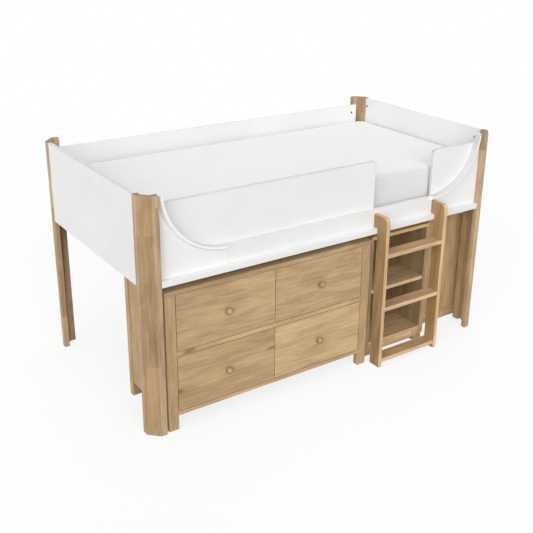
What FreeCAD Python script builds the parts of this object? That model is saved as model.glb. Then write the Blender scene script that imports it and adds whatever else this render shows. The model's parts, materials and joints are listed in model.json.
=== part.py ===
"""Low loft bed with a drawer chest, a bookcase and a desk standing under it.

Frame: X along the bed, Y from the ladder side to the wall side, Z up, floor at Z = 0.
All sizes are in millimetres.
"""
import os
import re
import FreeCAD, Part
import Sketcher

# Driving dimensions, by piece
SIZES = {
    # bed frame
    "bed_length": 1980,
    "bed_width": 1060,
    "post_height": 1090,
    "post_section": 78,
    "post_chamfer": 48,
    "post_wall": 25,
    "post_inner_corner": 50,
    "post_edge_round": 1.5,
    "board_edge_round": 1.2,
    "seam_edge_round": 0.4,
    "board_thickness": 18,
    "seat_clearance": 2,
    "side_height": 397,
    "rail_height": 117,
    "end_panel_inset": 3.5,
    "end_panel_drop": 3,
    "back_panel_drop": 41,
    "back_panel_end_gap": 14,
    # front curve, guards and ledge
    "curve_radius": 297,
    "curve_setback": 21,
    "corner_board_drop": 7,
    "trim_width": 19,
    "trim_flat": 10.5,
    "trim_height": 18,
    "trim_foot": 2,
    "trim_round": 1.2,
    "guard_drop": 47,
    "guard_edge_round": 3,
    "guard_corner_round": 16,
    "entry_margin": 10,
    "ledge_height": 28,
    "ledge_round": 3,
    # mattress support
    "bearer_lift": 2,
    "bearer_width": 28,
    "bearer_height": 40,
    "slat_width": 68,
    "slat_thickness": 16,
    "slat_end_clearance": 4,
    # mattress
    "mattress_end_gap": 18.5,
    "mattress_front_gap": 16,
    "mattress_back_gap": 3,
    "mattress_seat_gap": 0.3,
    "mattress_side_height": 201,
    "mattress_side_bulge": 5,
    "mattress_end_crown": 1.5,
    "mattress_crown": 3,
    "mattress_draw_in": 5,
    # panel bolts
    "bolt_head_radius": 6,
    "bolt_head_height": 1.5,
    "bolt_end_distance": 36,
    "bolt_rear_distance": 12,
    "bolt_edge_distance": 44,
    "back_bolt_edge_distance": 72,
    # ladder
    "ladder_overhang": 21,
    "ladder_width": 395,
    "ladder_gap": 1,
    "stile_thickness": 20,
    "stile_depth": 69,
    "stile_rise": 68,
    "stile_corner_radius": 26,
    "stile_round": 2.5,
    "tread_thickness": 20,
    "tread_depth": 68,
    "tread_first": 44,
    "tread_head_gap": 89,
    "tread_round": 2.5,
    "cap_radius": 4.5,
    "cap_height": 0.6,
    # chest
    "chest_post_gap": 12,
    "chest_setback": 9,
    "chest_head_gap": 27,
    "chest_depth": 388,
    "chest_top_thickness": 20,
    "chest_top_overhang": 3,
    "chest_leg_width": 49,
    "chest_leg_depth": 30,
    "chest_side_thickness": 14,
    "chest_side_inset": 5,
    "chest_clear_height": 69,
    "chest_bottom_rail": 18,
    "chest_middle_rail": 21,
    "chest_rail_depth": 22,
    "chest_partition": 18,
    "chest_back_thickness": 6,
    "chest_back_inset": 6,
    # drawers
    "drawer_gap": 2.5,
    "drawer_recess": 0.5,
    "drawer_front_thickness": 18,
    "drawer_board": 12,
    "drawer_bottom_thickness": 6,
    "drawer_bottom_lift": 8,
    "drawer_side_clearance": 3,
    "drawer_head_gap": 69,
    "drawer_box_depth": 335,
    "runner_height": 14,
    "runner_clearance": 0.3,
    "knob_radius": 17,
    "knob_base_radius": 10,
    "knob_neck_radius": 7.5,
    "knob_neck_length": 9,
    "knob_rim_start": 14,
    "knob_rim_end": 19,
    "knob_length": 26,
    # bookcase
    "book_chest_gap": 44,
    "book_setback": 57,
    "book_head_gap": 41,
    "book_width": 387,
    "book_depth": 193,
    "book_board": 18,
    "book_shelf_setback": 4,
    "book_back_thickness": 5,
    "book_leg_height": 54,
    "book_leg_width": 62,
    "book_leg_depth": 28,
    "book_apron_height": 38,
    "book_apron_thickness": 18,
    # desk
    "desk_book_gap": 14,
    "desk_width": 340,
    "desk_post_gap": 16,
    "desk_head_gap": 33,
    "desk_top_thickness": 20,
    "desk_top_overhang": 4,
    "desk_leg_width": 34,
    "desk_leg_depth": 38,
    "desk_rail_bottom": 22,
    "desk_rail_height": 57,
    "desk_rail_thickness": 20,
    "desk_panel_recess": 6,
    "desk_panel_thickness": 14,
    "desk_modesty_inset": 10,
    "desk_modesty_height": 320,
}

# Places worked out from the driving dimensions
MIDDLE = "((ladder_gap + stile_depth) / 2)"
FRONT = f"({MIDDLE} - bed_width / 2)"
BACK = f"({MIDDLE} + bed_width / 2)"
BOARD_FACE = f"({FRONT} + post_wall)"
GUARD_FACE = f"({BOARD_FACE} + board_thickness)"
GUARD_BACK = f"({GUARD_FACE} + board_thickness)"
BACK_PANEL_FACE = f"({BACK} - post_wall - board_thickness)"
INNER_WIDTH = f"({BACK_PANEL_FACE} - {GUARD_BACK})"
END_FACE = "(bed_length / 2 - end_panel_inset - board_thickness)"
BOARD_END = "(bed_length / 2 - post_inner_corner - seat_clearance)"
BACK_PANEL_END = f"({BOARD_END} - back_panel_end_gap)"
POST_END = "(bed_length / 2 - post_section)"
RAIL_BOTTOM = "(post_height - side_height)"
SEAM = f"({POST_END} - curve_setback - curve_radius)"
RAIL_TOP = f"({RAIL_BOTTOM} + rail_height)"
LEDGE_TOP = f"({RAIL_BOTTOM} + ledge_height)"
CORNER_TOP = "(post_height - corner_board_drop)"
CURVE_RISE = f"({RAIL_TOP} + curve_radius - {CORNER_TOP})"
GUARD_TOP = "(post_height - guard_drop)"
END_PANEL_TOP = "(post_height - end_panel_drop)"
BACK_PANEL_TOP = "(post_height - back_panel_drop)"
BEARER_BOTTOM = f"({RAIL_BOTTOM} + bearer_lift)"
SLAT_BOTTOM = f"({BEARER_BOTTOM} + bearer_height)"
MATTRESS_BOTTOM = f"({SLAT_BOTTOM} + slat_thickness + mattress_seat_gap)"
MATTRESS_LENGTH = f"(2 * {END_FACE} - 2 * mattress_end_gap)"
MATTRESS_WIDTH = f"({INNER_WIDTH} - mattress_front_gap - mattress_back_gap)"
DESK_LEFT = "(bed_length / 2 - desk_width)"
BOOK_LEFT = f"({DESK_LEFT} - desk_book_gap - book_width)"
CHEST_LEFT = f"(-{POST_END} + chest_post_gap)"
CHEST_WIDTH = f"({BOOK_LEFT} - book_chest_gap - {CHEST_LEFT})"
CHEST_FRONT = f"({FRONT} + chest_setback)"
CHEST_BACK = f"({CHEST_FRONT} + chest_depth)"
CHEST_UNDER = f"({RAIL_BOTTOM} - chest_head_gap - chest_top_thickness)"
CHEST_MIDDLE = f"({CHEST_LEFT} + {CHEST_WIDTH} / 2)"
OPENING_LEFT = f"({CHEST_LEFT} + chest_leg_width)"
OPENING_WIDTH = f"({CHEST_WIDTH} - 2 * chest_leg_width)"
ROW_BASE = "(chest_clear_height + chest_bottom_rail)"
ROW_HEIGHT = f"(({CHEST_UNDER} - {ROW_BASE} - chest_middle_rail) / 2)"
ROW_STEP = f"({ROW_HEIGHT} + chest_middle_rail)"
DRAWER_WIDTH = f"(({OPENING_WIDTH} - 3 * drawer_gap) / 2)"
DRAWER_BACK_FACE = f"({CHEST_FRONT} + drawer_recess + drawer_front_thickness)"
BOX_HEIGHT = f"({ROW_HEIGHT} - drawer_head_gap)"
BOX_WIDTH = f"(({OPENING_WIDTH} - chest_partition) / 2 - 2 * drawer_side_clearance)"
BOOK_FRONT = f"({FRONT} + book_setback)"
BOOK_UNDER = f"({RAIL_BOTTOM} - book_head_gap - book_board)"
BOOK_INNER = "(book_width - 2 * book_board)"
SHELF_BOTTOM = f"(({BOOK_UNDER} + book_leg_height) / 2)"
LADDER_LEFT = f"({BOOK_LEFT} - ladder_overhang)"
STILE_REAR = f"({FRONT} - ladder_gap)"
TREAD_LENGTH = "(ladder_width - 2 * stile_thickness)"
TREAD_PITCH = f"(({RAIL_BOTTOM} - tread_head_gap - tread_first) / 2)"
KNOB_DOME = "(knob_length - knob_rim_end)"
KNOB_FACE = f"((knob_radius * knob_radius + {KNOB_DOME} * {KNOB_DOME}) / (2 * {KNOB_DOME}))"
DESK_SIDE = "(bed_width / 2 - post_section - desk_post_gap)"
DESK_UNDER = f"({RAIL_BOTTOM} - desk_head_gap - desk_top_thickness)"
DESK_RAIL_TOP = "(desk_rail_bottom + desk_rail_height)"

doc = FreeCAD.newDocument("low_loft_bed")
sheet = doc.addObject("Spreadsheet::Sheet", "Sizes")
for row, (alias, value) in enumerate(SIZES.items(), start=1):
    sheet.set(f"A{row}", alias)
    sheet.set(f"B{row}", str(value))
    sheet.setAlias(f"B{row}", alias)
doc.recompute()

SLAT_COUNT = 14
RIGHT_ANGLE = 90
AXES = "xyz"
SIDES = (("left", -1), ("right", 1))
ALIAS = re.compile(r"[a-z_]+")
nodes = []


def linked(expression):
    """The expression with every size name pointing at its cell."""
    return ALIAS.sub(lambda m: f"Sizes.{m[0]}" if m[0] in SIZES else m[0], expression)


def number(expression):
    """The present value of an expression."""
    return float(sheet.evalExpression(linked(expression)))


def bind(thing, **expressions):
    for name, expression in expressions.items():
        thing.setExpression(name, linked(expression))


def place(thing, low):
    for axis, expression in zip(AXES, low):
        thing.setExpression(f"Placement.Base.{axis}", linked(expression))


def node(thing, label):
    """Keep this object as a piece of the bed, under its own name."""
    thing.Label = label
    nodes.append(thing)
    return thing


def new_body(name):
    return doc.addObject("PartDesign::Body", f"{name}_body")


def round_edges(body, base, edges, radius):
    """Round the named edges of a feature, or all of them when no edge is named."""
    doc.recompute()
    rounding = body.newObject("PartDesign::Fillet", "rounding")
    rounding.Base = (base, edges or [""])
    rounding.UseAllEdges = not edges
    bind(rounding, Radius=radius)
    body.Tip = rounding


def board(name, low, size, radius="board_edge_round"):
    """A sawn board with eased edges."""
    body = new_body(name)
    blank = body.newObject("PartDesign::AdditiveBox", "blank")
    bind(blank, Length=size[0], Width=size[1], Height=size[2])
    round_edges(body, blank, [], radius)
    place(body, low)
    return body


def strip(name, low, size):
    """A plain square-edged strip."""
    box = doc.addObject("Part::Box", name)
    bind(box, Length=size[0], Width=size[1], Height=size[2])
    place(box, low)
    return box


def disc(name, centre, radius, height, turn):
    """A short round head, its axis turned from Z by the given rotation."""
    cylinder = doc.addObject("Part::Cylinder", name)
    bind(cylinder, Radius=radius, Height=height)
    cylinder.Placement = FreeCAD.Placement(FreeCAD.Vector(), turn)
    place(cylinder, centre)
    return cylinder


def group(label, members):
    """Separate solids that share one node."""
    compound = doc.addObject("Part::Compound", f"{label}_group")
    compound.Links = members
    return node(compound, label)


def mirrored(sign, near, size, middle="0"):
    """Low edge of a piece that starts at a distance from the middle, on either side."""
    return f"{middle} + ({near})" if sign > 0 else f"{middle} - ({near}) - ({size})"


def outline(body, plane_role, corners, arcs):
    """A closed sketch through corners; arcs maps a side to its centre, radius and turn."""
    sketch = body.newObject("Sketcher::SketchObject", "profile")
    plane = next(item for item in body.Origin.OriginFeatures if item.Role == plane_role)
    sketch.AttachmentSupport = [(plane, "")]
    sketch.MapMode = "FlatFace"
    points = [FreeCAD.Vector(number(u), number(v), 0) for u, v in corners]
    first, last = [], []
    for side, start in enumerate(points):
        end = points[(side + 1) % len(points)]
        if side not in arcs:
            sketch.addGeometry(Part.LineSegment(start, end))
            first.append(1)
            last.append(2)
            continue
        centre, radius, turn = arcs[side]
        middle = FreeCAD.Vector(number(centre[0]), number(centre[1]), 0)
        towards = (start - middle).normalize() + (end - middle).normalize()
        through = middle + towards.normalize() * number(radius)
        arc = Part.Arc(start, through, end)
        sketch.addGeometry(arc)
        sketch.addConstraint(Sketcher.Constraint("Radius", side, number(radius)))
        sketch.setExpression(f"Constraints[{sketch.ConstraintCount - 1}]", linked(radius))
        first.append(1 if turn > 0 else 2)
        last.append(2 if turn > 0 else 1)
    for side in range(len(points)):
        following = (side + 1) % len(points)
        joined = Sketcher.Constraint("Coincident", side, last[side], following, first[following])
        sketch.addConstraint(joined)
    for side, corner in enumerate(corners):
        for kind, axis, expression in (("DistanceX", -2, corner[0]), ("DistanceY", -1, corner[1])):
            if expression == "0":
                sketch.addConstraint(Sketcher.Constraint("PointOnObject", side, first[side], axis))
                continue
            value = number(expression)
            held = Sketcher.Constraint(kind, -1, 1, side, first[side], value)
            sketch.setExpression(f"Constraints[{sketch.addConstraint(held)}]", linked(expression))
    return sketch


def pad(body, sketch, length, backward=False):
    feature = body.newObject("PartDesign::Pad", "pad")
    feature.Profile = sketch
    feature.Reversed = backward
    bind(feature, Length=length)
    body.Tip = feature
    return feature


def post(label, x, y, quarter_turns):
    """A bent corner post: two wings joined by a flat that cuts the outer corner."""
    body = new_body(label)
    corners = [
        ("0", "post_section"),
        ("0", "post_chamfer"),
        ("post_chamfer", "0"),
        ("post_section", "0"),
        ("post_section", "post_wall"),
        ("post_inner_corner", "post_wall"),
        ("post_wall", "post_inner_corner"),
        ("post_wall", "post_section"),
    ]
    feature = pad(body, outline(body, "XY_Plane", corners, {}), "post_height")
    round_edges(body, feature, [], "post_edge_round")
    turn = FreeCAD.Rotation(FreeCAD.Vector(0, 0, 1), RIGHT_ANGLE * quarter_turns)
    body.Placement = FreeCAD.Placement(FreeCAD.Vector(), turn)
    place(body, (x, y, "0"))
    node(body, label)


def curve_side(sign, radius):
    """Where the front curve meets the top of the corner board."""
    return f"{sign} * ({SEAM} + sqrt(({radius}) * ({radius}) - {CURVE_RISE} * {CURVE_RISE}))"


def corner_board(label, sign):
    """A front board that sweeps up to its post in a quarter curve."""
    body = new_body(label)
    seam = f"{sign} * {SEAM}"
    corners = [
        (f"{sign} * {BOARD_END}", RAIL_BOTTOM),
        (seam, RAIL_BOTTOM),
        (seam, RAIL_TOP),
        (curve_side(sign, "curve_radius"), CORNER_TOP),
        (f"{sign} * {BOARD_END}", CORNER_TOP),
    ]
    centre = (seam, f"{RAIL_TOP} + curve_radius")
    sketch = outline(body, "XZ_Plane", corners, {2: (centre, "curve_radius", sign)})
    feature = pad(body, sketch, "board_thickness", backward=True)
    round_edges(body, feature, [], "seam_edge_round")
    place(body, ("0", BOARD_FACE, "0"))
    node(body, label)


def corner_trim(label, sign):
    """A raised bead along the curved edge of a corner board, bevelled on its outer side."""
    body = new_body(label)
    section = [
        ("curve_radius", "0"),
        ("curve_radius", "-trim_height"),
        ("curve_radius + trim_flat", "-trim_height"),
        ("curve_radius + trim_width", "-trim_foot"),
        ("curve_radius + trim_width", "0"),
    ]
    sketch = outline(body, "XY_Plane", section, {})
    sweep = body.newObject("PartDesign::Revolution", "sweep")
    sweep.Profile = sketch
    axis = next(item for item in body.Origin.OriginFeatures if item.Role == "Y_Axis")
    sweep.ReferenceAxis = (axis, [""])
    sweep.Reversed = sign > 0
    bind(sweep, Angle=f"acos({CURVE_RISE} / curve_radius)")
    body.Tip = sweep
    doc.recompute()
    face = sweep.Shape.BoundBox.YMin
    match_share = 0.001
    tolerance = match_share * number("trim_height")
    front_arcs = [
        f"Edge{index}"
        for index, edge in enumerate(sweep.Shape.Edges, start=1)
        if abs(edge.BoundBox.YMax - face) < tolerance and isinstance(edge.Curve, Part.Circle)
    ]
    round_edges(body, sweep, front_arcs, "trim_round")
    turn = FreeCAD.Rotation(FreeCAD.Vector(0, 1, 0), RIGHT_ANGLE)
    body.Placement = FreeCAD.Placement(FreeCAD.Vector(), turn)
    place(body, (f"{sign} * {SEAM}", BOARD_FACE, f"{RAIL_TOP} + curve_radius"))
    node(body, label)


def bed_frame():
    post("post_front_left", "-bed_length / 2", FRONT, 0)
    post("post_front_right", "bed_length / 2", FRONT, 1)
    post("post_back_right", "bed_length / 2", BACK, 2)
    post("post_back_left", "-bed_length / 2", BACK, 3)
    panel_depth = "(bed_width - 2 * post_section)"
    for side, sign in SIDES:
        start = mirrored(sign, END_FACE, "board_thickness")
        low = (start, f"{MIDDLE} - {panel_depth} / 2", RAIL_BOTTOM)
        size = ("board_thickness", panel_depth, f"{END_PANEL_TOP} - {RAIL_BOTTOM}")
        label = f"end_panel_{side}"
        node(board(label, low, size), label)
        corner_board(f"front_corner_board_{side}", sign)
        corner_trim(f"corner_trim_{side}", sign)
    size = (f"2 * {BACK_PANEL_END}", "board_thickness", f"{BACK_PANEL_TOP} - {RAIL_BOTTOM}")
    back = board("back_panel", (f"-{BACK_PANEL_END}", BACK_PANEL_FACE, RAIL_BOTTOM), size)
    node(back, "back_panel")
    size = (f"2 * {SEAM}", "board_thickness", "rail_height")
    rail = board("front_rail", (f"-{SEAM}", BOARD_FACE, RAIL_BOTTOM), size, "seam_edge_round")
    node(rail, "front_rail")
    size = (f"2 * {POST_END}", "post_wall", "ledge_height")
    ledge = board("front_ledge", (f"-{POST_END}", FRONT, RAIL_BOTTOM), size, "ledge_round")
    node(ledge, "front_ledge")


def guards():
    """Two guard panels behind the front boards, with the way in between them."""
    entry_left = f"({LADDER_LEFT} + entry_margin)"
    entry_right = f"({LADDER_LEFT} + ladder_width - entry_margin)"
    height = f"{GUARD_TOP} - {RAIL_BOTTOM}"
    runs = (
        ("guard_panel_left", f"-{BOARD_END}", f"{entry_left} + {BOARD_END}", "XMax"),
        ("guard_panel_right", entry_right, f"{BOARD_END} - {entry_right}", "XMin"),
    )
    for label, start, length, entry_end in runs:
        body = new_body(label)
        blank = body.newObject("PartDesign::AdditiveBox", "blank")
        bind(blank, Length=length, Width="board_thickness", Height=height)
        doc.recompute()
        box, edges = blank.Shape.BoundBox, blank.Shape.Edges
        corner = FreeCAD.Vector(getattr(box, entry_end), box.Center.y, box.ZMax)
        away = [edge.CenterOfMass.distanceToPoint(corner) for edge in edges]
        round_edges(body, blank, [f"Edge{away.index(min(away)) + 1}"], "guard_corner_round")
        round_edges(body, body.Tip, [], "guard_edge_round")
        place(body, (start, GUARD_FACE, RAIL_BOTTOM))
        node(body, label)


def mattress_support():
    size = (f"2 * {BOARD_END}", "bearer_width", "bearer_height")
    bearers = [
        strip("bearer_front", (f"-{BOARD_END}", GUARD_BACK, BEARER_BOTTOM), size),
        strip("bearer_back", (f"-{BOARD_END}", f"{BACK_PANEL_FACE} - bearer_width", BEARER_BOTTOM), size),
    ]
    group("slat_bearers", bearers)
    slats = []
    reach = f"(2 * {BOARD_END} - slat_width)"
    for index in range(SLAT_COUNT):
        low = (
            f"-{BOARD_END} + {index} * {reach} / {SLAT_COUNT - 1}",
            f"{GUARD_BACK} + slat_end_clearance",
            SLAT_BOTTOM,
        )
        size = ("slat_width", f"{INNER_WIDTH} - 2 * slat_end_clearance", "slat_thickness")
        slats.append(strip(f"slat_{index}", low, size))
    group("slats", slats)


def mattress_section(along, width, crown):
    """Across the mattress: a flat underside, bulging sides and a crowned top."""
    half = width / 2
    height = number("mattress_side_height")
    bulge = number("mattress_side_bulge")
    corner = [
        FreeCAD.Vector(along, -half, 0),
        FreeCAD.Vector(along, half, 0),
        FreeCAD.Vector(along, half, height),
        FreeCAD.Vector(along, -half, height),
    ]
    edges = [
        Part.LineSegment(corner[0], corner[1]),
        Part.Arc(corner[1], FreeCAD.Vector(along, half + bulge, height / 2), corner[2]),
        Part.Arc(corner[2], FreeCAD.Vector(along, 0, height + crown), corner[3]),
        Part.Arc(corner[3], FreeCAD.Vector(along, -half - bulge, height / 2), corner[0]),
    ]
    return Part.Wire([edge.toShape() for edge in edges])


def mattress():
    """A mattress that is full at its corners, drawn in along its sides and crowned on top."""
    half_length = number(MATTRESS_LENGTH) / 2
    width = number(MATTRESS_WIDTH) - 2 * number("mattress_side_bulge")
    waist = width - 2 * number("mattress_draw_in")
    end_crown = number("mattress_end_crown")
    sections = [
        mattress_section(-half_length, width, end_crown),
        mattress_section(0, waist, number("mattress_crown")),
        mattress_section(half_length, width, end_crown),
    ]
    feature = doc.addObject("Part::Feature", "mattress_solid")
    feature.Shape = Part.makeLoft(sections, True)
    middle = f"{GUARD_BACK} + mattress_front_gap + {MATTRESS_WIDTH} / 2"
    place(feature, ("0", middle, MATTRESS_BOTTOM))
    node(feature, "mattress")


def panel_bolts():
    """Bolt heads on the inner faces of the end panels and the back panel."""
    along_x = FreeCAD.Rotation(FreeCAD.Vector(0, 0, 1), FreeCAD.Vector(1, 0, 0))
    along_y = FreeCAD.Rotation(FreeCAD.Vector(0, 0, 1), FreeCAD.Vector(0, 1, 0))
    heads = []
    end_rows = (
        ("low", f"{RAIL_BOTTOM} + bolt_edge_distance"),
        ("high", f"{END_PANEL_TOP} - bolt_edge_distance"),
    )
    back_rows = (
        ("low", f"{RAIL_BOTTOM} + back_bolt_edge_distance"),
        ("high", f"{BACK_PANEL_TOP} - bolt_edge_distance"),
    )
    for side, sign in SIDES:
        ends = (("front", -1, "bolt_end_distance"), ("back", 1, "bolt_rear_distance"))
        for end, direction, distance in ends:
            across = f"{MIDDLE} + {direction} * (bed_width / 2 - post_section - {distance})"
            for level, height in end_rows:
                start = mirrored(sign, f"{END_FACE} - bolt_head_height", "bolt_head_height")
                name = f"bolt_{side}_{end}_{level}"
                head = disc(name, (start, across, height), "bolt_head_radius", "bolt_head_height", along_x)
                heads.append(head)
        along = f"{sign} * ({BACK_PANEL_END} - bolt_end_distance)"
        for level, height in back_rows:
            centre = (along, f"{BACK_PANEL_FACE} - bolt_head_height", height)
            name = f"bolt_back_{side}_{level}"
            heads.append(disc(name, centre, "bolt_head_radius", "bolt_head_height", along_y))
    group("panel_bolts", heads)


def ladder_stile(label, low_x):
    """An upright whose shoulder sits on the ledge and whose head reaches the rail."""
    body = new_body(label)
    front = f"({STILE_REAR} - stile_depth)"
    top = f"({LEDGE_TOP} + stile_rise)"
    corners = [
        (front, "0"),
        (STILE_REAR, "0"),
        (STILE_REAR, LEDGE_TOP),
        (BOARD_FACE, LEDGE_TOP),
        (BOARD_FACE, top),
        (f"{front} + stile_corner_radius", top),
        (front, f"{top} - stile_corner_radius"),
    ]
    centre = (f"{front} + stile_corner_radius", f"{top} - stile_corner_radius")
    sketch = outline(body, "YZ_Plane", corners, {5: (centre, "stile_corner_radius", 1)})
    feature = pad(body, sketch, "stile_thickness")
    round_edges(body, feature, [], "stile_round")
    place(body, (low_x, "0", "0"))
    node(body, label)


def ladder():
    right_stile = f"{LADDER_LEFT} + ladder_width - stile_thickness"
    ladder_stile("ladder_stile_left", LADDER_LEFT)
    ladder_stile("ladder_stile_right", right_stile)
    along_x = FreeCAD.Rotation(FreeCAD.Vector(0, 0, 1), FreeCAD.Vector(1, 0, 0))
    caps = []
    for step, name in enumerate(("lower", "middle", "upper")):
        top = f"(tread_first + {step} * {TREAD_PITCH})"
        low = (f"{LADDER_LEFT} + stile_thickness", f"{STILE_REAR} - tread_depth", f"{top} - tread_thickness")
        label = f"ladder_tread_{name}"
        node(board(label, low, (TREAD_LENGTH, "tread_depth", "tread_thickness"), "tread_round"), label)
        across = f"{STILE_REAR} - stile_depth / 2"
        middle = f"{top} - tread_thickness / 2"
        outer_faces = (f"{LADDER_LEFT} - cap_height", f"{LADDER_LEFT} + ladder_width")
        for side, start in zip(("left", "right"), outer_faces):
            cap = disc(f"cap_{name}_{side}", (start, across, middle), "cap_radius", "cap_height", along_x)
            caps.append(cap)
    group("ladder_screw_caps", caps)


def chest_frame():
    size = (
        f"{CHEST_WIDTH} + 2 * chest_top_overhang",
        "chest_depth + chest_top_overhang",
        "chest_top_thickness",
    )
    low = (f"{CHEST_LEFT} - chest_top_overhang", f"{CHEST_FRONT} - chest_top_overhang", CHEST_UNDER)
    node(board("chest_top", low, size), "chest_top")
    leg_size = ("chest_leg_width", "chest_leg_depth", CHEST_UNDER)
    rear = f"{CHEST_BACK} - chest_leg_depth"
    right_leg = f"{CHEST_LEFT} + {CHEST_WIDTH} - chest_leg_width"
    rear_legs = []
    for side, start in (("left", CHEST_LEFT), ("right", right_leg)):
        label = f"chest_front_leg_{side}"
        node(board(label, (start, CHEST_FRONT, "0"), leg_size), label)
        rear_legs.append(board(f"chest_rear_leg_{side}", (start, rear, "0"), leg_size))
    group("chest_rear_legs", rear_legs)
    inset_right = f"{CHEST_LEFT} + {CHEST_WIDTH} - chest_side_inset - chest_side_thickness"
    side_height = f"{CHEST_UNDER} - chest_clear_height"
    side_size = ("chest_side_thickness", "chest_depth - 2 * chest_leg_depth", side_height)
    for side, start in (("left", f"{CHEST_LEFT} + chest_side_inset"), ("right", inset_right)):
        label = f"chest_side_{side}"
        low = (start, f"{CHEST_FRONT} + chest_leg_depth", "chest_clear_height")
        node(board(label, low, side_size), label)
    rails = []
    for name, base, height in (
        ("bottom", "chest_clear_height", "chest_bottom_rail"),
        ("middle", f"{ROW_BASE} + {ROW_HEIGHT}", "chest_middle_rail"),
    ):
        low = (OPENING_LEFT, CHEST_FRONT, base)
        rails.append(board(f"chest_rail_{name}", low, (OPENING_WIDTH, "chest_rail_depth", height)))
    group("chest_front_rails", rails)
    start = f"({CHEST_FRONT} + chest_rail_depth)"
    back_face = f"({CHEST_BACK} - chest_back_inset - chest_back_thickness)"
    low = (f"{CHEST_MIDDLE} - chest_partition / 2", start, "chest_clear_height")
    size = ("chest_partition", f"{back_face} - {start}", f"{CHEST_UNDER} - chest_clear_height")
    node(strip("chest_partition_board", low, size), "chest_partition")
    low = (OPENING_LEFT, back_face, "chest_clear_height")
    size = (OPENING_WIDTH, "chest_back_thickness", f"{CHEST_UNDER} - chest_clear_height")
    node(strip("chest_back_board", low, size), "chest_back")


def drawer_runners():
    """Strips on the chest sides and the partition that carry the drawer boxes."""
    reach = "(drawer_side_clearance + drawer_board)"
    outer = f"(chest_leg_width - chest_side_inset - chest_side_thickness + {reach})"
    partition_left = f"{CHEST_MIDDLE} - chest_partition / 2"
    starts = (
        ("outer_left", f"{CHEST_LEFT} + chest_side_inset + chest_side_thickness", outer),
        ("inner_left", f"{partition_left} - {reach}", reach),
        ("inner_right", f"{CHEST_MIDDLE} + chest_partition / 2", reach),
        ("outer_right", f"{OPENING_LEFT} + {OPENING_WIDTH} - {reach}", outer),
    )
    runners = []
    for row in range(2):
        base = f"{ROW_BASE} + {row} * {ROW_STEP}"
        for name, start, width in starts:
            low = (start, f"{CHEST_FRONT} + chest_leg_depth", base)
            size = (width, "chest_depth - 2 * chest_leg_depth", "runner_height")
            runners.append(strip(f"runner_{name}_{row}", low, size))
    group("drawer_runners", runners)


def drawer_knob(label, centre):
    """A turned knob on a short neck, its axis along Y."""
    body = new_body(label)
    corners = [
        ("0", "0"),
        ("knob_base_radius", "0"),
        ("knob_neck_radius", "-knob_neck_length"),
        ("knob_radius", "-knob_rim_start"),
        ("knob_radius", "-knob_rim_end"),
        ("0", "-knob_length"),
    ]
    face_centre = ("0", f"-knob_length + {KNOB_FACE}")
    sketch = outline(body, "XY_Plane", corners, {4: (face_centre, KNOB_FACE, -1)})
    turned = body.newObject("PartDesign::Revolution", "turned")
    turned.Profile = sketch
    turned.ReferenceAxis = (sketch, ["V_Axis"])
    full_turn = 360
    turned.Angle = full_turn
    body.Tip = turned
    place(body, centre)
    node(body, label)


def drawer(label, column, row):
    base = f"({ROW_BASE} + {row} * {ROW_STEP})"
    left = f"({OPENING_LEFT} + drawer_gap + {column} * ({DRAWER_WIDTH} + drawer_gap))"
    front_size = (DRAWER_WIDTH, "drawer_front_thickness", f"{ROW_HEIGHT} - 2 * drawer_gap")
    face = f"{CHEST_FRONT} + drawer_recess"
    front = board(f"{label}_front", (left, face, f"{base} + drawer_gap"), front_size)
    node(front, f"{label}_front")
    box_starts = (
        f"({OPENING_LEFT} + drawer_side_clearance)",
        f"({CHEST_MIDDLE} + chest_partition / 2 + drawer_side_clearance)",
    )
    box_left = box_starts[column]
    box_base = f"({base} + runner_height + runner_clearance)"
    inner_width = f"({BOX_WIDTH} - 2 * drawer_board)"
    inner_left = f"{box_left} + drawer_board"
    inner_depth = "(drawer_box_depth - 2 * drawer_board)"
    side_size = ("drawer_board", "drawer_box_depth", BOX_HEIGHT)
    end_size = (inner_width, "drawer_board", BOX_HEIGHT)
    rear = f"{DRAWER_BACK_FACE} + drawer_box_depth - drawer_board"
    right = f"{box_left} + {BOX_WIDTH} - drawer_board"
    floor_low = (inner_left, f"{DRAWER_BACK_FACE} + drawer_board", f"{box_base} + drawer_bottom_lift")
    box = [
        strip(f"{label}_side_left", (box_left, DRAWER_BACK_FACE, box_base), side_size),
        strip(f"{label}_side_right", (right, DRAWER_BACK_FACE, box_base), side_size),
        strip(f"{label}_inner_front", (inner_left, DRAWER_BACK_FACE, box_base), end_size),
        strip(f"{label}_rear", (inner_left, rear, box_base), end_size),
        strip(f"{label}_floor", floor_low, (inner_width, inner_depth, "drawer_bottom_thickness")),
    ]
    group(f"{label}_box", box)
    centre = (f"{left} + {DRAWER_WIDTH} / 2", face, f"{base} + {ROW_HEIGHT} / 2")
    drawer_knob(f"{label}_knob", centre)


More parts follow.
